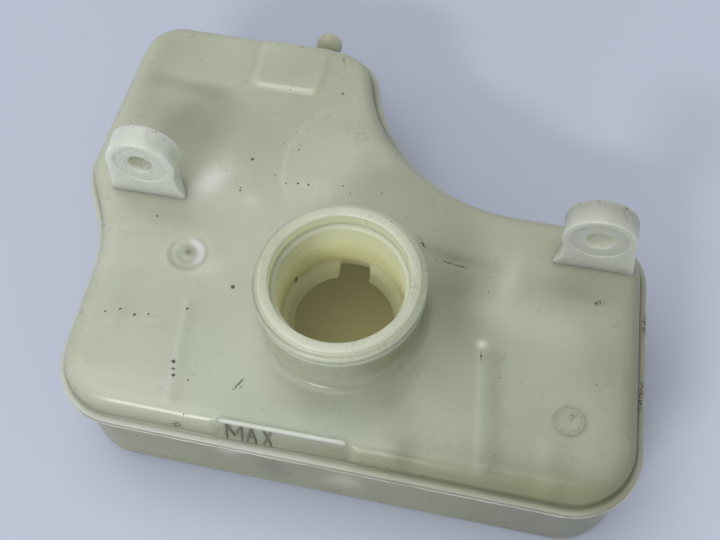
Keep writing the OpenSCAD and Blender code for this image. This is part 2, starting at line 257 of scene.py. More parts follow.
def bell(d, width):
    """exp(-(d / width)^2): 1 where d is 0 and next to nothing past twice the width."""
    return np.exp(-(d / width) ** 2)


def window(x, a, b, c, d):
    """0 outside a to d, 1 between b and c, with soft steps from a to b and from c to d."""
    return soft_step(x, a, b) * soft_step(x, d, c)


# %% [markdown]
# ## Section of a shell
#
# A section has stretches of two kinds. Near the flange a point is given by its distance
# inwards from the plan; near the neck it is given by its radius. Between them the top
# runs straight from one kind to the other, so each point holds both numbers and a share
# that mixes them.

# %% Stations along a section
def by_plan(path):
    """Stations from points (distance inwards, height)."""
    p = np.asarray(path, float)
    return np.stack([np.zeros(len(p)), p[:, 0], np.ones(len(p)), p[:, 1]], axis=1)


def by_neck(path):
    """Stations from points (radius, height)."""
    p = np.asarray(path, float)
    return np.stack([p[:, 0], np.zeros(len(p)), np.zeros(len(p)), p[:, 1]], axis=1)


def between(a, b, count):
    """Stations that pass from a by_neck end to a by_plan end, or back: the share runs
    evenly, and each kind keeps its own number."""
    t = np.linspace(0, 1, count + 2)[1:-1, None]
    row = a * (1 - t) + b * t
    from_neck = a[2] < b[2]
    row[:, 0] = a[0] if from_neck else b[0]
    row[:, 1] = b[1] if from_neck else a[1]
    return row


def sweep_section(stations, theta):
    """Grid of points: radius = (1 - share) * neck radius + share * plan radius at the
    station's distance inwards, turned to theta."""
    plan = np.stack([plan_radius(theta, d) for d in stations[:, 1]], axis=1)
    share = stations[None, :, 2]
    r = (1 - share) * stations[None, :, 0] + share * plan
    z = np.broadcast_to(stations[None, :, 3], r.shape)
    return np.stack([r * np.cos(theta)[:, None], r * np.sin(theta)[:, None], z], axis=2)

# %% [markdown]
# ## Relief on the top
#
# The upper shell's top isn't plain: it has a raised pad, a hollow where the plastic was
# let in, a low curved step, sink marks above the ribs inside and a level panel on its
# front edge. Each is a height that depends only on the place seen from above, so they
# add up to one relief that lifts the points of the grid.

# %% Heights seen from above
def box_distance(x, y, low, high, corner):
    """Distance outside a box with rounded corners: the length of the positive part of
    |p - centre| - (half size - corner), plus the larger negative part, less corner."""
    cx, cy = (low[0] + high[0]) / 2, (low[1] + high[1]) / 2
    qx = np.abs(x - cx) - ((high[0] - low[0]) / 2 - corner)
    qy = np.abs(y - cy) - ((high[1] - low[1]) / 2 - corner)
    outside = np.hypot(np.maximum(qx, 0), np.maximum(qy, 0))
    return outside + np.minimum(np.maximum(qx, qy), 0) - corner


def line_distance(x, y, a, b):
    """Distance from the straight piece between a and b."""
    ax, ay = a
    bx, by = b
    along = ((x - ax) * (bx - ax) + (y - ay) * (by - ay)) / ((bx - ax) ** 2 + (by - ay) ** 2)
    t = np.clip(along, 0, 1)
    return np.hypot(x - ax - t * (bx - ax), y - ay - t * (by - ay))


PAD_LOW, PAD_HIGH, PAD_CORNER, PAD_OUT = (-51.0, 82.2), (-27.0, 112.0), 3.0, 0.9
PANEL_ENDS, PANEL_Y, PANEL_SLOPE = (-31.0, 11.0), -41.3, 2.6
PANEL_TOP, PANEL_FOOT = top_z - 0.2, seam_z + flange_t
GATE = (-54.3, 12.7)
UPPER_RIBS = [
    ((43.4, -2.4), (48.6, -41)), ((-47.3, -40.5), (-51.3, -4.5)), ((-81.2, -15.2), (-53.4, -11)),
    ((-82.5, 17.8), (-64, 19.3)), ((-92, 76.4), (-65.2, 79)),
]
LOWER_RIBS = [
    ((72.7, -27.8), (74.1, -41.6)), ((15.7, -28), (15.7, -41.2)), ((-31.5, -28), (-31.5, -41.2)),
    ((43.5, 24.2), (42.2, 44.8)), ((-46.4, 58.9), (-50.8, 79.8)),
]


STEP_CENTRE, STEP_R = (-2.0, 54.0), 29.5


def step_curve(x, y):
    """Signed distance from the circle that the low curved step follows: centre left of
    the hollow, so that only its left stretch lies on the tank."""
    return np.hypot(x - STEP_CENTRE[0], y - STEP_CENTRE[1]) - STEP_R


def top_relief(x, y):
    """Sum of the small heights on the flat top, in millimetres."""
    gate = np.hypot(x - GATE[0], y - GATE[1])
    z = -0.6 * soft_step(gate, 6.8, 5.4) - 0.2 * soft_step(gate, 4.6, 3.2) + 0.4 * soft_step(gate, 1.9, 1.2)
    reach = soft_step(x, 2, -12) * soft_step(y, 30, 42)
    z = z + 0.12 * soft_step(step_curve(x, y), 1.6, -1.6) * reach
    for a, b in UPPER_RIBS:
        z = z - 0.06 * bell(line_distance(x, y, a, b), 2.2)
    return z


def with_pad(x, y, z):
    """Raises the pad: inside its outline the tank's top goes up by PAD_OUT, and less and
    less down the rounded edge, so the pad follows it to nothing at the flange. Its rise is
    0.55 mm to each side of the outline in front and softer at the sides."""
    width = 0.55 + 0.85 * soft_step(y, PAD_LOW[1] + 0.5, PAD_LOW[1] + 4)
    inside = soft_step(box_distance(x, y, PAD_LOW, PAD_HIGH, PAD_CORNER) / width, 1, -1)
    return z + PAD_OUT * inside * soft_step(z, top_z - 5.0, top_z - 1.0)


def panel_face(z):
    """y of the panel's sloping face at the height z: a straight line from its foot on the
    flange back to its top edge."""
    return PANEL_Y - PANEL_SLOPE * (PANEL_TOP - z) / (PANEL_TOP - PANEL_FOOT)


def with_panel(x, y, z):
    """Between the panel's ends, points before the sloping face are pushed back onto it and
    points just behind it are raised to it, or to its top edge."""
    low, high = PANEL_ENDS
    along = window(x, low - 0.4, low + 0.4, high - 0.4, high + 0.4)
    back = y + (np.maximum(y, panel_face(z)) - y) * along
    on_face = PANEL_TOP - (PANEL_Y - back) / PANEL_SLOPE * (PANEL_TOP - PANEL_FOOT)
    raised = np.maximum(z, np.minimum(on_face, PANEL_TOP))
    return back, z + (raised - z) * along * (back < PANEL_Y + 5)


# %% [markdown]
# ## Stains, what shows through, and painted shade
#
# A thin wall shows what is behind it: ribs, the fluid's old level, thick and thin
# stretches of the other shell. From outside these are only soft patches that are a
# little darker, lighter or more yellow, so each is a bell-shaped blot in plan, and their
# sum is kept with the points of the shell as numbers that the material reads. A few
# blots and lines are painted shade, a painted shadow or a painted highlight instead, and
# are named where they stand.

# %% Tones of the top
def blot(x, y, centre, size, turn=0.0):
    """exp(-(u^2 + v^2)), where u and v are the place in an ellipse's own axes."""
    c, s = np.cos(np.radians(turn)), np.sin(np.radians(turn))
    dx, dy = x - centre[0], y - centre[1]
    return np.exp(-((dx * c + dy * s) / size[0]) ** 2 - ((dy * c - dx * s) / size[1]) ** 2)


def blots(rows, x, y):
    """Sum of the strength times the blot of each row."""
    return sum(k * blot(x, y, at, size, turn) for at, size, turn, k in rows)


# Rows of centre, half sizes, turn in degrees and strength.
# Two rows are painted shade: the neck's shadow on its right, at (34, 12), and the shade in front of the right ear, at
# (69, 21).
DARK = [
    ((-68, 61), (11, 10), 0, 0.42), ((-82, 66), (9, 9), 0, 0.2), ((-60, 92), (30, 14), 0, 0.12),
    ((34, 12), (10, 20), 12, 0.6), ((33, -18), (7, 10), 35, 0.12), ((69, 21), (13, 6), 0, 0.3),
    ((22, -26), (7, 9), 30, 0.2), ((27, -41), (4, 4), 0, 0.45), ((56, -22), (14, 20), 0, 0.12),
    ((2, 72), (8, 16), 20, 0.16), ((-44, 66), (12, 16), 10, 0.16), ((-30, 98), (9, 8), 0, 0.12),
    ((30, 27), (14, 2.0), -8, 0.25), ((92, -12), (9, 50), 0, 0.3), ((-60, 24), (18, 6), 0, 0.14),
    ((68, -42), (36, 7), 0, 0.4), ((-86, 88), (6, 26), 0, 0.16), ((80, -2), (8, 12), 0, 0.14),
    ((0, -35), (24, 8), 0, 0.24), ((-62, 2), (20, 20), 0, 0.08),
]
LIGHT = [
    ((-54, 41), (4, 7), -30, 0.75), ((-39.4, 35.6), (2.2, 1.9), 0, 0.28), ((44, -2), (1.5, 1.3), 0, 1.0),
    ((-71, -4), (11, 24), 0, 0.08), ((-12, 58), (9, 12), 0, 0.12), ((-20, 44), (12, 5), 0, 0.12),
    ((49, 22), (3, 9), -8, 0.3), ((46, 10), (10, 5), 0, 0.22), ((-14.5, 42), (1.6, 1.4), 0, 0.15),
    ((-60, -34), (22, 4), 0, 0.1), ((64, 6), (10, 6), 0, 0.14),
    ((-46, 8), (5, 3), 30, 0.2), ((-30, -14), (6, 10), 20, 0.1),
]
GREEN = [
    ((-40, -18), (10, 12), 0, 0.6), ((-8, -37), (26, 4), 0, 0.8), ((64, -12), (14, 10), 0, 0.25),
    ((-28, -30), (10, 8), 0, 0.6), ((6, -30), (9, 6), 0, 0.5), ((76, -28), (7, 9), 0, 0.4),
    ((34, -26), (8, 7), 0, 0.4),
]
YELLOW = [
    ((-69, -8), (5, 9), 0, 0.4), ((80, -42), (26, 5), 0, 0.7), ((34, -44), (34, 3.5), 0, 0.6),
    ((92, -18), (3, 26), 0, 0.6), ((90, 18), (3, 16), 0, 0.5), ((-60, 20), (18, 10), 0, 0.2),
    ((-78, 96), (10, 12), 0, 0.3), ((-16, 98), (10, 10), 0, 0.3), ((66, 34), (18, 8), 0, 0.3),
]


GRIME = [
    ((-13, 66), (7, 3), 10, 0.5), ((-9, 67), (4, 5), 0, 0.5),
    ((-82, -42), (8, 5), 0, 0.5), ((-46, -28), (9, 7), 0, 0.3),
]
# Rows of two ends, half width and strength, which is negative where a line is pale: the
# lines where ribs touch the wall from inside, each with painted shade beside it, and a
# painted highlight along the front edge of the pad.
LINES = [
    ((43.4, -2.4), (48.3, -41.8), 1.0, -0.22), ((48.5, -6), (53, -40), 2.8, 0.22),
    ((-50.1, -4.3), (-46.9, -38.1), 0.9, -0.2), ((-47.5, -6), (-44, -37), 2.0, 0.16),
    ((-82, 16.7), (-62.6, 20.3), 0.9, -0.12), ((-75, -16), (-57, -13), 0.9, -0.1),
    ((-86, 80), (-62, 76), 3.0, 0.22), ((-88, 83), (-58, 81), 1.0, -0.1),
    ((PAD_LOW[0] + PAD_CORNER, PAD_LOW[1]), (PAD_HIGH[0] - PAD_CORNER, PAD_LOW[1]), 0.7, -0.35),
    ((66, -30), (68, -44), 2.0, -0.12), ((72, -28), (73, -44), 3.0, 0.12),
]
# Rows of radius, half width and strength: faint rings round the middle of the gate hollow.
GATE_RINGS = [(6.2, 0.8, 0.16), (7.9, 0.7, -0.1), (4.8, 0.8, -0.22), (2.6, 1.2, 0.12), (0, 1.1, 1.4)]


def tone_of_top(x, y):
    """Darkness in plan: dark blots less light ones, a slow rise to the right, lines along
    the ribs, a pale curve along the low step, and the gate's rings with a bright crescent
    of painted light on their right."""
    tone = blots(DARK, x, y) - blots(LIGHT, x, y)
    tone = tone + 0.3 * soft_step(x, -50, 60) - 0.05 + 0.05 * soft_step(y, 30, -10)
    tone = tone + sum(k * bell(line_distance(x, y, a, b), half) for a, b, half, k in LINES)
    left_arc = soft_step(x, 4, -12) * window(y, 34, 44, 76, 86)
    tone = tone + left_arc * (0.05 * soft_step(step_curve(x, y), 0, 3) - 0.1 * bell(step_curve(x, y) - 0.2, 0.9))
    gate = np.hypot(x - GATE[0], y - GATE[1])
    # The bright crescent on the hollow's right side is painted light.
    right_half = soft_step((x - GATE[0]) + 0.4 * (y - GATE[1]), 0, 3)
    tone = tone + sum(k * bell(gate - radius, half) for radius, half, k in GATE_RINGS)
    return tone - 1.1 * bell(gate - 4.1, 1.1) * right_half


# %% [markdown]
# ## Upper shell
#
# One closed section goes from the weld, round the flange, up the low wall, over the top
# and up the neck, into the bore and back under the top. Real shells of this kind come
# out of an injection mould with one even wall, so the inside follows the outside at the
# wall's thickness. The splash collar below the bore is part of the same section, and
# its slot at the back is made by drawing the collar's points into the wall there.

# %% Section of the upper shell
CREST_LOW, CREST_HIGH = rim_z - 6.4, rim_z - 1.8
neck_r, crest_r, mouth_r, bore_r, lip_r = 24.0, 26.0, 21.0, 19.5, 15.2
flange_path = rounded(
    [(flange_w + wall, seam_z + 0.08), (skin_in, seam_z + 0.08), (skin_in, seam_z + flange_t),
     (flange_w, seam_z + flange_t), (flange_w, top_z), (10.0, top_z)],
    [0, 0.5, 0.4, 0.7, 5.8, 0], steps=7)
neck_path = rounded(
    [(29.0, top_z), (neck_r, top_z), (neck_r, CREST_LOW - 1.0), (crest_r, CREST_LOW), (crest_r, CREST_HIGH),
     (neck_r + 0.4, CREST_HIGH + 0.9), (neck_r + 0.3, rim_z), (mouth_r, rim_z), (mouth_r, rim_z - 5),
     (bore_r, rim_z - 5.3), (bore_r, top_z + 0.5), (lip_r + 2.3, top_z - 1.4), (lip_r, top_z - 5),
     (lip_r + 1.7, top_z - 5), (bore_r - 0.6, top_z - wall), (23.0, top_z - wall)],
    [0, 3.4, 0.6, 0.4, 0.5, 0.3, 0.5, 0.6, 0.4, 0.6, 1.6, 1.2, 0.6, 0.6, 0.5, 0], steps=5)
inner_path = rounded(
    [(9.5, top_z - wall), (flange_w + wall, top_z - wall), (flange_w + wall, seam_z + 0.08)],
    [0, 3.4, 0], steps=5)[:-1]


# Places in the neck's path: where the crest begins and ends, which is cut finely for its
# thread, and where the collar begins, which needs only every second point.
CREST_START, CREST_END, COLLAR_START = 7, 29, 55
neck_row = by_neck(np.concatenate([
    densified(neck_path[:CREST_START + 1], 1.6)[:-1],
    densified(neck_path[CREST_START:CREST_END + 1], 0.5)[:-1],
    densified(np.concatenate([neck_path[CREST_END:COLLAR_START], neck_path[COLLAR_START::2]]), 1.6)]))
flange_row = by_plan(densified(flange_path, 1.1))
inner_row = by_plan(densified(inner_path, 4.5))
top_row = between(flange_row[-1], neck_row[0], 64)
ceiling_row = between(neck_row[-1], inner_row[0], 8)
upper_row = np.concatenate([flange_row, top_row, neck_row, ceiling_row, inner_row])
print("stations round the upper shell's section:", len(upper_row))

# %% [markdown]
# ## Grid of the upper shell
#
# The section is carried round the plan, and the relief lifts the points of the top. The
# pad and the panel also reach down the front and back edges, so they move wall points.

# %% The upper shell's grid
theta = plan_angles(412)
cos_theta, sin_theta = np.cos(theta)[:, None], np.sin(theta)[:, None]
x, y, z = np.moveaxis(sweep_section(upper_row, theta), 2, 0)
neck_start = len(flange_row) + len(top_row)
station = np.arange(len(upper_row))
row_r, row_in, _, row_z = upper_row.T
on_top = (station < neck_start) & (row_z > top_z - 0.01)
on_wall = (station < neck_start) & (row_in > flange_w - 0.6) & (row_z > PANEL_FOOT)
z = z + top_relief(x, y) * on_top
z = np.where(on_wall, with_pad(x, y, z), z)
panel_y, panel_z = with_panel(x, y, z)
y, z = np.where(on_wall, panel_y, y), np.where(on_wall, panel_z, z)
print("points on the top:", int(on_top.sum()) * len(theta))

# %% [markdown]
# ## Slot and thread
#
# The collar keeps fluid from splashing out, and a slot at its back lets air and a filler
# nozzle past. The cap's thread is a shallow groove round the crest. Both only move
# points of the grid towards or away from the neck's axis, so the surface stays closed.

# %% Slot of the collar and thread of the crest
SLOT_HALF = 4.5
in_neck = (station >= neck_start) & (station < neck_start + len(neck_row))
collar = in_neck & (row_r < bore_r - 0.05) & (row_z < top_z + 0.4)
slot = soft_step(np.abs(row_r * cos_theta), SLOT_HALF + 0.5, SLOT_HALF - 0.2) * (sin_theta > 0) * collar
pull = slot * (bore_r + 0.02 * (top_z - row_z) - row_r)
z = z + slot * (np.maximum(z, top_z - wall) - z)

PITCH, GROOVE, GROOVE_W, THREAD_FOOT = 3.2, 0.5, 0.5, rim_z - 4.5
thread = in_neck & (row_r > neck_r + 1.0)
turns = (z - THREAD_FOOT) / PITCH - (theta[:, None] + np.pi / 2) / TAU
groove = bell((turns - np.round(turns)) * PITCH, GROOVE_W) * thread
x = x + (pull - GROOVE * groove) * cos_theta
y = y + (pull - GROOVE * groove) * sin_theta
print("slot", 2 * SLOT_HALF, "mm wide, thread pitch", PITCH, "mm")

# %% [markdown]
# ## Marks of the upper shell
#
# The material can't know where the crest or the weld is, so each point of the grid says
# it: how far inside it is, how shaded, yellow, green or dirty, and how much light from
# the tank's inside reaches it. Much of the shade is painted shade. The bore glows a little
# by painted light: an emission that stands for the light that comes through a
# translucent neck's wall from outside as well as down the mouth.

# %% Marks and mesh of the upper shell
depth = rim_z - z
bore_start = neck_start + int(np.argmax(neck_row[:, 0] < mouth_r + 0.01))
hidden, plain = station >= bore_start, station < neck_start + 6
neck_out = ~hidden & ~plain
flank = soft_step(top_z - z, 0.3, 5.0) * soft_step(z, PANEL_FOOT + 0.3, PANEL_FOOT + 1.5) * plain
# Painted shade with some grime: a dark line along the weld's seam, and one in the crease where the wall meets the
# flange.
seam_shade_and_grime = bell(z - seam_z, 0.5) * plain
root_shade_and_grime = bell(z - PANEL_FOOT, 0.5) * (row_in > flange_w - 0.8) * plain
# The neck's wall under the crest is painted darker as shade, more where it is stained, and the bore's left wall is
# painted in shade.
under_crest = soft_step(z, top_z + 2, top_z + 8) * soft_step(z, CREST_LOW + 0.6, CREST_LOW - 0.2)
stained = 0.5 + 0.5 * blot(x, y, (16, -18), (14, 10))
bore_left_shade = soft_step(-x, 5, 17) * soft_step(depth, 3.5, 6)

# Painted shade in the shade mark: the seam, the wall's root, under the crest, in the thread's groove, deep down the
# bore and on its left wall.
shade = tone_of_top(x, y) * plain + 0.22 * flank + 0.7 * seam_shade_and_grime + 0.35 * root_shade_and_grime
shade = shade + neck_out * (0.3 * under_crest * stained - 0.26 * soft_step(z, CREST_LOW - 0.3, CREST_LOW + 0.5))
shade = shade + neck_out * (0.6 * groove + 0.24 * soft_step(z, CREST_LOW, CREST_LOW + 1) * (x / neck_r) ** 2)
shade = shade + hidden * (0.5 * soft_step(depth, 21, 28) + 0.22 * bore_left_shade)
yellow = blots(YELLOW, x, y) * plain + 0.5 * flank
yellow = yellow + neck_out * (0.25 + 0.7 * under_crest * blot(x, y, (18, -16), (10, 9)))
grime = blots(GRIME, x, y) + 0.2 * bell(np.hypot(x, y) - 27.5, 1.4) * soft_step(y, 10, -20)
crest_wear = soft_step(z, CREST_LOW - 0.5, CREST_LOW + 0.5) * (0.35 + 0.3 * soft_step(x, -10, 25))
# Painted light: the seat and the bore glow, less on the bore's shaded left wall.
seat_glow = 0.13 * window(depth, 0.4, 1.2, 3.6, 5)
bore_glow = 0.19 * window(depth, 4, 7, 12, 23) + 0.06 * soft_step(depth, 14, 24)
upper_skin = ring_piece("upper_skin", np.stack([x, y, z], axis=2), marks={
    "inside": hidden * soft_step(depth, 3, 26), "shade": shade, "yellow": yellow,
    "green": blots(GREEN, x, y) * plain, "dirt": grime * plain + 0.5 * neck_out * crest_wear,
    "glow": hidden * (1 - 0.45 * bore_left_shade) * (seat_glow + bore_glow)})

# %% [markdown]
# ## Ears
#
# The two ears are moulded with the upper shell, but they are so thick that they look
# milky where the thin walls look yellow. Each one is a ring-shaped surface round its
# hole: a section that goes through the hole, over the shallow seat and the front face,
# round the outer edge and back. Its outer radius follows the ear's outline, with a round
# head, and a foot swept towards the neck.

# %% Outline and section of an ear
EAR_R, EAR_T, EAR_WAIST, EAR_LEG, EAR_FOOT, EAR_BACK, EAR_FILLET = 11.37, 8.0, 10.2, 13.0, 2.8, 8.7, 0.5
HOLE_R, SEAT_R, SEAT_DEPTH = 4.2, 8.8, 0.5


def leg_outline(angle, hole_h, drop):
    """Distance from the hole's axis to the leg's outline, below the hole: a waist, a sweep
    out to the foot on the +x side, and a side that leans out to the foot on the other."""
    quarter = np.radians(np.linspace(90, 0, 10))
    sweep_x = EAR_WAIST + EAR_FOOT * (1 - np.sin(quarter))
    sweep_z = -hole_h + 0.6 * hole_h * (1 - np.cos(quarter))
    xs = np.concatenate([[-EAR_R + 0.2, -EAR_LEG, -EAR_LEG, sweep_x[-1]], sweep_x[::-1], [EAR_WAIST]])
    zs = np.concatenate([[0, -hole_h, -drop, -drop], sweep_z[::-1], [0]])
    fine = densified(np.stack([xs, zs], axis=1), 0.25)
    return np.interp(angle, np.arctan2(fine[:, 1], fine[:, 0]), np.hypot(fine[:, 0], fine[:, 1]), period=TAU)


def ear_shape(mount):
    """Offsets from the hole's axis (x, z), depth from the front and distance along the
    section. The section gives each point a share from the hole to the outline, which is
    the larger of the round head and of the leg. Towards the back the leg's inner side is
    cut off at a plane x = limit that draws in with the depth."""
    far = 30  # where the section's outer edge is drawn, before it is drawn in to the outline
    hole_h = mount[2] - top_z
    path = densified(rounded(
        [(HOLE_R, EAR_T / 2), (HOLE_R, SEAT_DEPTH), (SEAT_R, SEAT_DEPTH), (SEAT_R, 0), (far, 0),
         (far, EAR_T), (HOLE_R, EAR_T), (HOLE_R, EAR_T / 2)],
        [0, 0.5, 0.15, 0.35, 1.1, 1.1, 0.6, 0], steps=5)[:-1], 1.2)
    angle = np.linspace(-np.pi, np.pi, 260, endpoint=False)
    c, s = np.cos(angle)[:, None], np.sin(angle)[:, None]
    rho, depth = (np.broadcast_to(path[None, :, i], (len(angle), len(path))) for i in (0, 1))
    limit = EAR_WAIST + EAR_FOOT + (EAR_BACK - EAR_WAIST - EAR_FOOT) * np.clip((depth - 1) / (EAR_T - 1), 0, 1)
    cut = limit / np.maximum(c, 0.05) * np.where(c > 0.05, 1, 9)
    leg = np.minimum(leg_outline(angle, hole_h, hole_h + 1.8)[:, None], cut)
    outer = np.where(s < 0, np.maximum(leg, EAR_R), EAR_R)
    seat_end = SEAT_R + 0.3
    inner_end = np.minimum(seat_end, outer - 0.4)
    share = np.clip((rho - seat_end) / (far - seat_end), 0, 1)
    radius = np.where(rho <= seat_end, np.minimum(rho, inner_end), inner_end + (outer - inner_end) * share)
    x, z = radius * c, radius * s
    height = np.clip((z + hole_h) / EAR_FILLET, 0, 1)
    flare = EAR_FILLET * (1 - np.sqrt(1 - (1 - height) ** 2))
    depth = depth + flare * np.where(depth > EAR_T / 2, 1.0, -1.0) * soft_step(rho, SEAT_R, SEAT_R + 1)
    return x, z, depth, rho


# Strengths of each ear's marks. The right one is painted in shade and has a worn head,
# and the left one's hole is the dirtier. Inside the hole the left ear is painted darker as
# shade and the right one paler, and both holes glow a little by painted light.
EAR_LOOKS = {
    "ear_left": dict(dirty=0.2, dirty_hole=0.4, worn=0.0, shaded=0.0, back=0.0, hole=0.14, head=0.12, glow=0.055),
    "ear_right": dict(dirty=0.0, dirty_hole=0.12, worn=0.8, shaded=0.3, back=0.25, hole=-0.1, head=0.04, glow=0.075),
}


def ear_piece(name, mount):
    """The ear round a mount's axis, with its marks; the right one is the left mirrored."""
    side = -1.0 if mount[0] > 0 else 1.0
    x, z, depth, rho = ear_shape(mount)
    k = EAR_LOOKS[name]
    grid = np.stack([mount[0] + side * x, mount[1] - EAR_T / 2 + depth, mount[2] + z], axis=2)
    in_hole = soft_step(rho, SEAT_R, HOLE_R + 0.3)
    in_bore = in_hole * window(depth, 0.6, 1.4, EAR_T - 1, EAR_T)
    foot = soft_step(z, top_z - mount[2] + 5, top_z - mount[2])
    dirt = k["dirty"] + k["dirty_hole"] * in_hole + k["worn"] * soft_step(z, 8, 11) * soft_step(-x, -2, 8)
    dirt = dirt + 1.2 * soft_step(depth, 6.4, 7.4) * soft_step(z, 3, 9)
    tone = k["shaded"] + k["back"] * soft_step(depth, 1.5, EAR_T) + 0.12 * foot
    tone = tone + k["hole"] * in_hole * soft_step(depth, 0.4, 3) + k["head"] * soft_step(z, 7, 10)
    # Painted light and shade: the glow in the hole, and the shaded and hole tones.
    return ring_piece(name, grid, marks={
        "dirt": dirt, "shade": tone, "yellow": 0.3 * foot, "glow": k["glow"] * in_bore})


ear_left = ear_piece("ear_left", mounts["ear_bore_left"])
ear_right = ear_piece("ear_right", mounts["ear_bore_right"])

# %% [markdown]
# ## Lower shell
#
# The lower shell is a deeper cup with the same flange. Its section starts and ends on
# the neck's axis, at the middle of its outside and inside, so the grid closes in two
# points. The floor has a faint round gate mark, and the front wall is shaded by what
# stands behind it. The front wall also has painted shade under the flange, along the
# seam and towards the right, and the inside glows a little by painted light.

# %% Cup of the lower shell
DRAFT, BOTTOM_R = 0.5, 4.0
FLOOR_RING, FLOOR_RING_R = (-0.5, -7.5), 2.4
# What shows through the front wall, as blots in x and height.
FRONT_WALL = [
    ((-15, 20), (7, 12), 0, 0.6), ((-29, 28), (4, 5), 0, -0.4),
    ((8, 20), (6, 7), 0, -0.3), ((-2, 26), (6, 6), 0, 0.2),
]
cup_out = rounded(
    [(13.0, 0), (flange_w + DRAFT, 0), (flange_w + 0.05, seam_z - flange_t), (skin_in, seam_z - flange_t),
     (skin_in, seam_z - 0.08), (flange_w + wall, seam_z - 0.08), (flange_w + wall + DRAFT, wall), (13.0, wall)],
    [0, BOTTOM_R, 0.7, 0.4, 0.5, 0.1, BOTTOM_R - wall, 0], steps=7)
cup_mid = by_plan(densified(cup_out, 2.5))
start, end = by_neck([(4.0, 0)])[0], by_neck([(4.0, wall)])[0]
lower_row = np.concatenate([[start], between(start, cup_mid[0], 30), cup_mid, between(cup_mid[-1], end, 40), [end]])
lower_grid = sweep_section(lower_row, plan_angles(420))
lower_inside = (lower_row[:, 3] > 0) & (np.arange(len(lower_row)) > 31 + len(cup_mid) // 2)
from_ring = np.hypot(lower_grid[..., 0] - FLOOR_RING[0], lower_grid[..., 1] - FLOOR_RING[1]) - FLOOR_RING_R
lower_grid[..., 2] += 0.3 * bell(from_ring, 0.5) * lower_inside
low_x, low_y, low_z = np.moveaxis(lower_grid, 2, 0)
# Painted shade: darker towards the right, and under the flange along the seam, with some grime at the seam.
through_and_right_shade = (blots(FRONT_WALL, low_x, low_z) + 0.6 * soft_step(low_x, 10, 80)) * soft_step(low_y, -38, -42)
under_flange_shade_and_grime = 0.7 * bell(low_z - seam_z, 0.5) + 0.25 * soft_step(low_z, seam_z - 7, seam_z - 2)
# The inside glows a little by painted light.
lower_skin = capped_piece(
    "lower_skin", lower_grid, (0, 0, 0), (0, 0, wall),
    marks={"inside": lower_inside + 0 * low_z, "shade": (through_and_right_shade + under_flange_shade_and_grime) * ~lower_inside,
           "glow": 0.058 * lower_inside + 0 * low_z})

# %% [markdown]
# ## Spigot
#
# The hose is pushed over a low bead and held behind it. The spigot is a body of
# revolution that grows out of the back wall with a wide root, and its section is closed
# too, so that its bore is really open.

# %% Spigot
tip = mounts["hose_spigot"]
SPIGOT_R, SPIGOT_BORE, BEAD = 4.6, 2.8, 0.25
tip_y = tip[1] + 3.0
root_y = tip_y - 16.0 - wall
spigot_path = rounded(
    [(SPIGOT_BORE, root_y - 2), (7.0, root_y - 1), (7.0, root_y + wall + 0.8), (SPIGOT_R, root_y + wall + 5.0),
     (SPIGOT_R, tip_y - 4.2), (SPIGOT_R + BEAD, tip_y - 3.7), (SPIGOT_R + BEAD, tip_y - 1.6),
     (SPIGOT_R - 2.4 * BEAD, tip_y), (SPIGOT_BORE, tip_y)],
    [0, 0.4, 1.2, 3.0, 0.5, 0.4, 1.4, 0.5, 0], steps=7)
spigot_path = np.concatenate([densified(spigot_path, 1.0), [(SPIGOT_BORE, tip_y - 8.0)]])


def turned_piece(name, path, axis_x, axis_z, count):
    """A section of (radius, y) turned about the line along y through axis_x, axis_z. Its
    root is painted darker, as shade and grime, its tip is paler, and the last point, in the
    bore, is stained."""
    a = np.linspace(0, TAU, count, endpoint=False)[:, None]
    r, y = path[None, :, 0], np.broadcast_to(path[None, :, 1], (count, len(path)))
    grid = np.stack([axis_x + r * np.cos(a), y, axis_z + r * np.sin(a)], axis=2)
    tone = 0.5 * soft_step(y, 112, 104) - 0.35 * soft_step(y, 113, 119)
    in_bore = np.broadcast_to(np.arange(len(path)) == len(path) - 1, y.shape)
    return ring_piece(name, grid, marks={"inside": in_bore, "shade": tone})


spigot = turned_piece("hose_spigot", spigot_path, tip[0], tip[2], 96)

# %% [markdown]
# ## Ribs inside
#
# Baffles stand on the lower shell's floor and short ribs hang under the top. They can't
# be touched from outside, but they show through the thin walls. Each is a wall with
# rounded edges: a lens-like section carried from one end to the other.

# %% Ribs
def rib_grid(a, b, low, high, half):
    """A rounded bar between a and b: the section is a superellipse of half width half and
    half height (high - low) / 2, shrinking over the last stretch at both ends."""
    a, b = np.array(a, float), np.array(b, float)
    way = unit(b - a)
    length = np.linalg.norm(b - a)
    t = np.sin(np.linspace(-np.pi / 2, np.pi / 2, 24)) / 2 + 0.5
    v = np.linspace(0, TAU, 28, endpoint=False)
    sx = half * np.sign(np.cos(v)) * np.abs(np.cos(v)) ** 0.4
    sz = (high - low) / 2 * np.sign(np.sin(v)) * np.abs(np.sin(v)) ** 0.25
    end = np.clip(np.minimum(t, 1 - t) * length / half, 0.02, 1) ** 0.5
    x = a[0] + way[0] * length * t[None, :] - way[1] * sx[:, None] * end[None, :]
    y = a[1] + way[1] * length * t[None, :] + way[0] * sx[:, None] * end[None, :]
    z = (low + high) / 2 + sz[:, None] * np.ones_like(t)[None, :]
    return np.stack([x, y, z], axis=2)


def rib_piece(name, ribs, low, high):
    """All ribs of one shell in one mesh, each closed at its ends by a single point."""
    middle = (low + high) / 2
    return bundle(name, [(rib_grid(a, b, low, high, 0.9), (*a, middle), (*b, middle)) for a, b in ribs], 1.0)


lower_ribs = rib_piece("lower_ribs", LOWER_RIBS, wall - 0.4, seam_z - 3)
upper_ribs = rib_piece("upper_ribs", UPPER_RIBS, top_z - wall - 4, top_z - wall + 0.4)

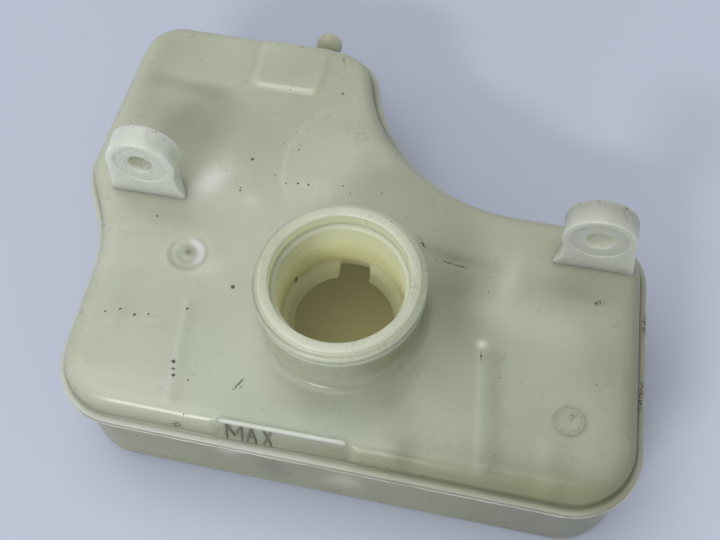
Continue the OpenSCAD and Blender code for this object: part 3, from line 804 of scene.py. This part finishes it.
# %% [markdown]
# ## Weld line
#
# Hot plates melt both flanges before they are pressed together, and the plastic that is
# squeezed out stays as a thin ragged bead in the joint. It is a small ring carried round
# the plan, whose width and height wander by a sum of waves that fit the loop a whole
# number of times.

# %% Weld flash
def wander(u, counts, seed):
    """Sum of sine waves with the given whole numbers of turns and seeded phases."""
    rng = np.random.default_rng(seed)
    phase = rng.uniform(0, TAU, len(counts))
    size = rng.uniform(0.5, 1.0, len(counts))
    waves = np.sin(np.outer(u, counts) * TAU + phase) * size
    return waves.sum(1) / size.sum()


along = np.arange(900) / 900
around = np.linspace(0, TAU, 10, endpoint=False)
flash_theta = plan_angles(900)
reach = 0.32 + 0.14 * wander(along, [9, 23, 41, 67, 113], 3)
thick = 0.22 + 0.08 * wander(along, [7, 31, 59, 97], 5)
height = seam_z + 0.06 * wander(along, [5, 13, 37], 8)
inset = skin_in - 0.02 - reach[:, None] * np.cos(around)[None, :]
inset = np.maximum(inset, 0.02)
base = plan_radius(flash_theta, 0.0)
slope = plan_radius(flash_theta, 1.0) - base
flash_r = base[:, None] + slope[:, None] * inset
flash_grid = np.stack([
    flash_r * np.cos(flash_theta)[:, None], flash_r * np.sin(flash_theta)[:, None],
    height[:, None] + thick[:, None] * np.sin(around)[None, :]], axis=2)
flash = ring_piece("weld_flash", flash_grid, marks={"inside": np.zeros(flash_grid.shape[:2])}, sharp=180)

# %% [markdown]
# ## Marks on the top
#
# A mould leaves small raised marks: a round date dial with a ring of dots and a level
# mark in plain letters, with a rounded bead along the panel's upper edge. Letters here
# are strokes of even width, so each is a rounded bar between two points.

# %% Date dial and level letters
def bar_grid(a, b, up, half, low, high):
    """A rounded bar between two points in space, with the two points that close it: the
    section is an ellipse of half width half that reaches from low to high along up."""
    a, b, up = (np.array(p, float) for p in (a, b, up))
    lift = up * (low + high) / 2
    v = np.linspace(0, TAU, 12, endpoint=False)
    t = np.sin(np.linspace(-np.pi / 2, np.pi / 2, 9)) / 2 + 0.5
    way, length = unit(b - a), np.linalg.norm(b - a)
    end = np.clip(np.minimum(t, 1 - t) * length / half, 0.03, 1) ** 0.5
    middle = a + (way * length)[None, :] * t[:, None] + lift
    grid = (middle[None] + half * (np.cos(v)[:, None] * end[None, :])[..., None] * np.cross(way, up)
            + (high - low) / 2 * (np.sin(v)[:, None] * end[None, :])[..., None] * up)
    return grid, a + lift, b + lift


def bar_piece(name, bars, half, low, high):
    """Raised strokes in one mesh, from rows of two ends and the way up. They reach from
    low, which is under the ground that they stand on, to high."""
    return bundle(name, [bar_grid(*bar, half, low, high) for bar in bars], 0.0)


DIAL, DIAL_R = (73.1, -21.8), 4.6
UP = (0, 0, 1)


def on_dial(radius, degrees):
    """A point of the dial at a radius and an angle, on the tank's top."""
    a = np.radians(degrees)
    return (DIAL[0] + radius * np.cos(a), DIAL[1] + radius * np.sin(a), top_z)


dial_bars = [(on_dial(DIAL_R, k * 15), on_dial(DIAL_R, k * 15 + 15), UP) for k in range(24)]
dial_bars += [(on_dial(3.1, k * 30), on_dial(3.7, k * 30), UP) for k in range(12)]
arrow = on_dial(2.2, 70)
dial_bars += [(on_dial(0, 0), arrow, UP), (arrow, on_dial(1.5, 40), UP), (arrow, on_dial(1.5, 100), UP)]
dial = bar_piece("date_dial", dial_bars, 0.28, -0.15, 0.3)

LETTERS = {
    "M": [((0, 0), (0, 1)), ((0, 1), (0.33, 0.25)), ((0.33, 0.25), (0.66, 1)), ((0.66, 1), (0.66, 0))],
    "A": [((0, 0), (0.21, 1)), ((0.21, 1), (0.42, 0)), ((0.09, 0.36), (0.33, 0.36))],
    "X": [((0.1, 0), (0.46, 1)), ((0.1, 1), (0.46, 0))],
}


def word_bars(word, left, foot, rise, height, gap, up):
    """Strokes of a word: x runs right from left, and a letter's height runs along rise."""
    bars = []
    foot, rise = np.array(foot, float), np.array(rise, float)
    x = left
    for letter in word:
        strokes = LETTERS[letter]
        for (ax, ay), (bx, by) in strokes:
            a = np.array([x + ax * height, 0, 0]) + foot + rise * ay * height
            b = np.array([x + bx * height, 0, 0]) + foot + rise * by * height
            bars.append((a, b, up))
        x += (max(max(p[0], q[0]) for p, q in strokes) + gap) * height
    return bars


up_panel = unit(np.array([0, PANEL_SLOPE, PANEL_TOP - PANEL_FOOT]))
foot_z = PANEL_FOOT + 0.4
max_bars = word_bars(
    "MAX", -27.0, (0, panel_face(foot_z), foot_z), up_panel, 7.2, 0.2, (0, -up_panel[2], up_panel[1]))
level_mark = bar_piece("level_letters", max_bars, 0.37, -0.2, 0.45)
# The bead's finish is paler than the shell's, as a painted highlight along the panel's top edge.
bead_ends = [(end_x, PANEL_Y + 0.15, top_z - 0.25) for end_x in (PANEL_ENDS[0] + 0.6, PANEL_ENDS[1] - 0.6)]
panel_bead = bar_piece("panel_bead", [(*bead_ends, unit(np.array([0, -1.0, 1.2])))], 0.85, -0.6, 0.34)

# %% [markdown]
# ## Shader maths as Python
#
# A material is easier to read as a formula than as a web of nodes. `Value` wraps one
# socket and turns +, - and * into Math nodes; `Finish.node` makes any other node from
# its type, its settings and its inputs.

# %% Shader helpers
class Value:
    """One socket of a node tree that can stand in a formula."""

    def __init__(self, finish, socket):
        self.finish, self.socket = finish, socket

    def maths(self, kind, a, b, clamp=False):
        return self.finish.node("ShaderNodeMath", {"operation": kind, "use_clamp": clamp}, {0: a, 1: b})

    def __add__(self, other):
        return self.maths("ADD", self, other)

    def __radd__(self, other):
        return self.maths("ADD", other, self)

    def __sub__(self, other):
        return self.maths("SUBTRACT", self, other)

    def __mul__(self, other):
        return self.maths("MULTIPLY", self, other)

    def __rmul__(self, other):
        return self.maths("MULTIPLY", other, self)

    def clamped(self):
        """The value kept between 0 and 1."""
        return self.maths("ADD", self, 0.0, clamp=True)


class Finish:
    """A material and the node tree that its formulas are built in."""

    def __init__(self, name):
        self.material = bpy.data.materials.new(name)
        self.material.use_nodes = True
        self.material.cycles.emission_sampling = "NONE"
        self.tree = self.material.node_tree
        self.tree.nodes.clear()
        self.place = self.node("ShaderNodeTexCoord", out="Object")
        self.xyz = self.node("ShaderNodeSeparateXYZ", inputs={0: self.place}, out=None)

    def axis(self, letter):
        """One coordinate of the point, in millimetres."""
        return Value(self, self.xyz.outputs[letter]) * 1000.0

    def node(self, kind, settings=None, inputs=None, out=0):
        """A node of this kind, and its output as a Value, or the node itself without out."""
        made = self.tree.nodes.new(kind)
        for key, value in (settings or {}).items():
            setattr(made, key, value)
        for key, value in (inputs or {}).items():
            socket = made.inputs[key]
            if isinstance(value, Value):
                self.tree.links.new(value.socket, socket)
            else:
                socket.default_value = (*value, 1) if socket.type == "RGBA" and len(value) == 3 else value
        return made if out is None else Value(self, made.outputs[out])

    def noise(self, scale, detail, rough, out=0):
        """Noise with this many waves a metre."""
        return self.node("ShaderNodeTexNoise", None, {
            "Vector": self.place, "Scale": scale, "Detail": detail, "Roughness": rough}, out=out)

    def step(self, value, low, high):
        """0 at low, 1 at high, smooth between."""
        return self.node("ShaderNodeMapRange", {"interpolation_type": "SMOOTHSTEP"}, {
            "Value": value, "From Min": low, "From Max": high, "To Min": 0.0, "To Max": 1.0})

    def mix(self, factor, a, b):
        """Colour a where the factor is 0 and b where it is 1."""
        return self.node("ShaderNodeMix", {"data_type": "RGBA"}, {0: factor, 6: a, 7: b}, out=2)

    def vector(self, kind, a, b=None, out=0, **inputs):
        """A vector formula of one kind, such as ADD, SCALE or LENGTH."""
        given = {0: a, **inputs} if b is None else {0: a, 1: b, **inputs}
        return self.node("ShaderNodeVectorMath", {"operation": kind}, given, out=out)

    def spot(self, place, centre, size, turn=0.0):
        """1 at the middle of an ellipsoid, 0 outside it; all in millimetres."""
        local = self.node("ShaderNodeMapping", {"vector_type": "TEXTURE"}, {
            "Vector": place, "Location": centre, "Rotation": (0, 0, np.radians(turn)), "Scale": size})
        return self.step(self.vector("LENGTH", local, out="Value"), 1.0, 0.6)

    def mark(self, name):
        """The number that the piece's points carry under this name."""
        return self.node("ShaderNodeAttribute", {"attribute_name": name}, out="Fac")

    def principled(self, **inputs):
        """A Principled shader; a line in an input's name stands for a blank."""
        return self.node("ShaderNodeBsdfPrincipled", None, {k.replace("_", " "): v for k, v in inputs.items()})

    def finished(self, shader):
        """The material, with this shader as its surface."""
        self.node("ShaderNodeOutputMaterial", None, {"Surface": shader}, out=None)
        return self.material

# %% [markdown]
# ## Aged translucent plastic
#
# New polypropylene is milky; years of fluid and heat turn it yellow-grey. Light goes a
# few millimetres into it, so it gets a subsurface weight with a short reach, and the
# rest of its look is in the colour: slow clouds, a stain inside where fluid has stood,
# paler thick stretches, ribs that show through as soft lines, and painted shade and
# highlights that the shade mark carries. Dirt is a second, dark and rough shader mixed in
# by a factor, a faint glow of painted light stands for the light that the walls let
# through, and the bump is a ripple from moulding.

# %% Plastic finish
def dust(f, scale, radius, share):
    """Dots of one radius in millimetres: each cell of a random pattern has its own
    colour, and only the given share of the cells carries a dot."""
    cells = f.node("ShaderNodeTexVoronoi", {"feature": "F1"}, {"Vector": f.place, "Scale": scale}, out=None)
    size = radius * scale / 1000
    pick = f.node("ShaderNodeSeparateColor", None, {0: Value(f, cells.outputs["Color"])})
    return f.step(Value(f, cells.outputs["Distance"]), size, size * 0.6) * f.step(pick, 1 - share, 1.02 - share)


RAGGED = 0.9  # mm by which a spot's edge wanders, from 0 up


def aged_plastic(name, pale, deep, stain, reach, specks=1.0, spots=()):
    """Colour = clouds between pale and deep; then towards the stain by the inside mark,
    towards dark or light by the shade mark, which holds painted shade and light as well as
    what shows through, towards green or yellow by theirs; then dirt. The glow is painted
    light: an emission for the light inside the tank that its own walls let through."""
    f = Finish(name)
    cloud = f.step(f.noise(22, 3, 0.6), 0.34, 0.7)
    fine = f.noise(160, 2, 0.6)
    colour = f.mix(cloud * 0.7, pale, deep)
    inside = (f.mark("inside") * (0.85 + 0.15 * cloud)).clamped()
    colour = f.mix(inside, colour, stain)
    shade = f.mark("shade") + 0.16 * (f.noise(48, 3, 0.65) - 0.5) + 0.05 * (fine - 0.5)
    # The shade mark darkens towards a painted shade colour and lightens towards a painted light one.
    colour = f.mix(shade.clamped(), colour, (0.17, 0.17, 0.13))
    colour = f.mix((shade * -1.0).clamped(), colour, (0.84, 0.86, 0.76))
    colour = f.mix((f.mark("green") * 0.3).clamped(), colour, (0.42, 0.56, 0.44))
    colour = f.mix((f.mark("yellow") * 0.5).clamped(), colour, (0.26, 0.255, 0.12))
    smear = f.step(f.noise(900, 3, 0.8), 0.52, 0.6) * f.step(f.noise(120, 2, 0.7), 0.42, 0.62)
    dirt = (f.mark("dirt") * smear).clamped()
    ragged = f.vector("SCALE", f.noise(900, 2, 0.5, out="Color"), Scale=RAGGED)
    uneven = f.vector("ADD", f.vector("SCALE", f.place, Scale=1000.0), ragged)
    grain = f.noise(1300, 2, 0.7)
    black = (dust(f, 300.0, 0.33, 0.14) + dust(f, 520.0, 0.2, 0.1) * 0.7) * specks
    for centre, size, turn in spots:
        black = black + f.spot(uneven, centre, size, turn) * (1.0 if max(size[:2]) < 1 else f.step(grain, 0.44, 0.56))
    rough = 0.24 + 0.1 * fine
    ripple = f.noise(30, 2, 0.5) + fine * 0.12
    bump = f.node("ShaderNodeBump", None, {"Strength": 0.3, "Distance": 0.0006, "Height": ripple})
    light = f.mix(f.mark("glow"), (0, 0, 0), (0.95, 0.96, 0.56))
    plastic = f.principled(
        Base_Color=colour, Roughness=rough, Normal=bump, Subsurface_Weight=1.0,
        Subsurface_Radius=(1.0, 0.97, 0.8), Subsurface_Scale=reach, IOR=1.49, Specular_IOR_Level=0.5,
        Emission_Color=light, Emission_Strength=1.0)
    black = black.clamped()
    soil = f.principled(Base_Color=f.mix(black, (0.13, 0.115, 0.075), (0.03, 0.027, 0.02)), Roughness=0.8)
    cover = (black * 0.9 + dirt * 0.75).clamped()
    return f.finished(f.node("ShaderNodeMixShader", None, {0: cover, 1: plastic, 2: soil}))


# Rows of x, y and radius: small dark spots on the flat top.
ON_TOP = [
    (-42.6, 51.6, 0.7), (-43.6, 38.8, 0.4), (-68, 24, 0.5), (-36.6, 3.1, 0.9), (-74.3, -12.8, 0.5),
    (-69.8, -11.2, 0.5), (-64.8, -12.3, 0.6), (-60.4, -11.2, 0.5), (-82, -13.9, 0.4), (-48, -25.4, 0.8),
    (-47.3, -27.7, 0.7), (-46.7, -29.8, 0.7), (-48.8, -7.1, 0.6), (-29.1, 44.1, 0.4), (-25.1, 44.8, 0.6),
    (-21.5, 44.8, 0.6), (-18.2, 84, 0.6), (-10.1, 46.5, 0.5), (-27.9, 58, 0.35), (-41.9, -30.5, 0.4),
    (51, -12, 0.4), (12, 76, 0.4),
]
top_spots = [((px + RAGGED / 2, py + RAGGED / 2, top_z), (r, r * 0.9, 3.0), 0) for px, py, r in ON_TOP]
# Rows of centre, half sizes and turn: longer spots, and those of the walls and the neck.
top_spots += [
    ((-26.0, -28.6, top_z), (0.5, 3.4, 3.0), -28), ((-24.7, -29.0, top_z), (0.3, 2.2, 3.0), -28),
    ((-42.6, -43.6, seam_z + 6), (2.4, 1.6, 3.0), 10), ((-50, 104.6, top_z - 3), (3.2, 1.0, 3.0), 0),
    ((-24.8, 100.6, top_z - 3), (1.6, 1.8, 4.0), 0), ((-20.5, 99, top_z - 2), (0.8, 2.4, 4.0), 20),
    ((-17.0, 9.6, top_z + 1.2), (1.4, 1.6, 1.3), 0), ((2.6, -24.3, top_z + 13.4), (1.4, 1.0, 0.6), 0),
    ((12.0, 21.8, rim_z), (0.5, 0.5, 1.0), 0), ((-22.6, -8.0, rim_z - 3.6), (1.2, 1.0, 1.0), 0),
    ((-78.5, -44.0, seam_z + 1), (1.4, 1.2, 2.0), 0), ((-81.5, -41.5, seam_z + 1), (1.2, 1.6, 2.0), 0),
    ((93.4, 18, seam_z + 2.6), (0.9, 5.0, 1.6), 0), ((94.4, -6, seam_z + 2.6), (0.7, 7.0, 1.6), 0),
    ((78.0, 19.0, top_z), (2.6, 1.0, 3.0), 20), ((44.8, -6.0, top_z), (0.4, 2.4, 3.0), 8),
    ((30.5, 24.5, top_z), (7.0, 0.5, 3.0), -8), ((20, 30.5, top_z), (0.5, 3.0, 3.0), 40),
]
# Rows of name, pale and deep colour, stain, how far light goes in (m), slot, pieces, and
# what else the finish is given.
LOOKS = [
    ("upper", (0.485, 0.51, 0.405), (0.43, 0.45, 0.345), (0.66, 0.65, 0.38), 0.012,
     "shell_upper", [upper_skin, upper_ribs], {"spots": top_spots}),
    ("dial", (0.36, 0.365, 0.27), (0.26, 0.26, 0.19), (0.4, 0.4, 0.3), 0.001, "shell_upper", [dial], {}),
    ("marks", (0.17, 0.165, 0.12), (0.14, 0.135, 0.09), (0.4, 0.4, 0.3), 0.001, "shell_upper", [level_mark], {}),
    ("ear", (0.69, 0.715, 0.66), (0.63, 0.66, 0.59), (0.5, 0.5, 0.4), 0.006, "shell_upper", [ear_left, ear_right], {}),
    # The bead's pale colours paint the highlight along the panel's top edge.
    ("bead", (0.66, 0.70, 0.52), (0.61, 0.645, 0.47), (0.5, 0.5, 0.4), 0.005, "shell_upper", [panel_bead], {}),
    ("flash", (0.62, 0.63, 0.54), (0.2, 0.19, 0.14), (0.4, 0.4, 0.3), 0.002, "shell_upper", [flash], {}),
    ("lower", (0.325, 0.33, 0.205), (0.275, 0.28, 0.165), (0.62, 0.58, 0.28), 0.003,
     "shell_lower", [lower_skin, lower_ribs, spigot], {"specks": 0.4}),
]
for name, pale, deep, stain, reach_in, slot_name, pieces, more in LOOKS:
    finish = aged_plastic("plastic_" + name, pale, deep, stain, reach_in, **more)
    for piece in pieces:
        piece.data.materials.append(finish)
        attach(piece, "root")
    if name in ("upper", "lower"):
        cad = frame["nodes"][name + "_shell"]
        cad.data.materials.clear()
        cad.data.materials.append(finish)
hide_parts("upper_shell")
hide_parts("lower_shell")
print("pieces:", sum(len(row[6]) for row in LOOKS))

# %% [markdown]
# ## Table and light
#
# The tank lies on a pale table in a pale room. A large soft light hangs above it, a
# little to the left, and a small low one in front on the left draws the long highlight
# on the front edge.

# %% Table
def matte(name, colour, second):
    """A plain surface with a faint cloud in its colour, paler to the right as painted light."""
    f = Finish(name)
    # Painted light: the table grows paler to the right.
    side = f.step(f.axis("X"), 0, 260) * 0.8
    tone = f.mix(side + f.noise(3, 2, 0.5) * 0.2, colour, second)
    return f.finished(f.principled(Base_Color=tone, Roughness=0.55))


def table_grid(half, count):
    """A flat square grid of the given half width, centred below the tank."""
    line = np.linspace(-half, half, count)
    gx, gy = np.meshgrid(line, line, indexing="ij")
    return np.stack([gx, gy, np.full_like(gx, -0.05)], axis=2)


table_points = table_grid(2500, 12)
nu, ns = table_points.shape[:2]
# The faces run from row to row, and the last row of them would join the far sides.
table_quads = grid_faces(nu, ns, False)[: (nu - 1) * (ns - 1)]
table = make_piece("table", table_points.reshape(-1, 3), table_quads)
if table.data.polygons[0].normal.z < 0:
    table.data.flip_normals()
table.data.materials.append(matte("table_top", (0.48, 0.52, 0.635), (0.57, 0.61, 0.74)))
table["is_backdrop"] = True


# %% Lights
def soft_light(name, place, target, size, power, colour):
    """An area light at place, in metres, turned to target."""
    data = bpy.data.lights.new(name, "AREA")
    data.shape, data.size, data.size_y = "RECTANGLE", size[0], size[1]
    data.energy, data.color = power, colour
    lamp = bpy.data.objects.new(name, data)
    away = unit(np.array(place, float) - np.array(target, float))
    right = unit(np.cross((0, 0, 1), away))
    turn = np.stack([right, np.cross(away, right), away], axis=1)
    lamp.matrix_world = Matrix.Translation(place) @ Matrix(turn.tolist()).to_4x4()
    scene.collection.objects.link(lamp)
    return lamp


window = soft_light("window", (-0.4, 0.0, 1.88), (0, 0.02, 0), (2.0, 1.6), 19.5, (1.0, 0.99, 0.97))
front = soft_light("front_window", (-0.46, -1.25, 0.95), (0, 0, 0.04), (0.46, 0.11), 9, (1.0, 1.0, 1.0))
world = bpy.data.worlds.new("room")
scene.world = world
world.use_nodes = True
world.node_tree.nodes["Background"].inputs[0].default_value = (0.93, 0.97, 1.0, 1)
world.node_tree.nodes["Background"].inputs[1].default_value = 0.4
print("lights:", window.name, front.name)

# %% [markdown]
# ## Camera
#
# The round rim of the neck is seen as an ellipse, which gives the camera's elevation,
# and its radius in pixels gives the distance. The camera is worked out in the tank's
# own axes from three angles, the focal length and the rim's centre in the picture.

# %% Camera
LEAN, ELEVATION, HEADING = np.radians([4.5, 61.5, 15.7])
FOCAL_PX, WIDTH_PX, HEIGHT_PX = 1100.0, 720.0, 540.0
RIM_PX, RIM_RADIUS_PX = (338.9, 276.8), 71.8
DISTANCE = FOCAL_PX * mouth_r / RIM_RADIUS_PX


def camera_axes():
    """The tank's axes seen by the camera (right, down, forward): up leans by LEAN in the
    picture and tips by ELEVATION, and the tank is turned by HEADING about it."""
    cl, sl, ce, se = np.cos(LEAN), np.sin(LEAN), np.cos(ELEVATION), np.sin(ELEVATION)
    up = np.array([-sl * ce, -cl * ce, -se])
    a = np.array([cl, -sl, 0.0])
    b = np.array([sl * se, cl * se, -ce])
    ch, sh = np.cos(HEADING), np.sin(HEADING)
    return ch * a + sh * b, sh * a - ch * b, up


axis_x, axis_y, axis_up = camera_axes()
rim = np.array([(RIM_PX[0] - WIDTH_PX / 2) / FOCAL_PX, (RIM_PX[1] - HEIGHT_PX / 2) / FOCAL_PX, 1.0]) * DISTANCE
to_row = np.stack([axis_x, axis_y, axis_up])
place = to_row @ (-rim) + np.array([0, 0, rim_z])
right, down, forward = to_row[:, 0], to_row[:, 1], to_row[:, 2]
camera_data = bpy.data.cameras.new("camera")
camera_data.sensor_width = 36.0
camera_data.lens = 36.0 * FOCAL_PX / WIDTH_PX
camera = bpy.data.objects.new("camera", camera_data)
turn = Matrix(np.stack([right, -down, -forward], axis=1).tolist()).to_4x4()
camera.matrix_world = Matrix.Translation(place * MM) @ turn
scene.collection.objects.link(camera)
scene.camera = camera
scene.view_settings.view_transform = "Standard"
print("camera stands at", np.round(place).tolist(), "mm")

# %% [markdown]
# ## Sizes
#
# The visual pieces have to stay inside the solid model's box, so both boxes are written
# down side by side.

# %% Write down both boxes and finish
visual_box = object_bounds()
for title, box in (("CAD", cad_box), ("visual", visual_box)):
    print(title, "box", [[round(c, 4) for c in v] for v in box])
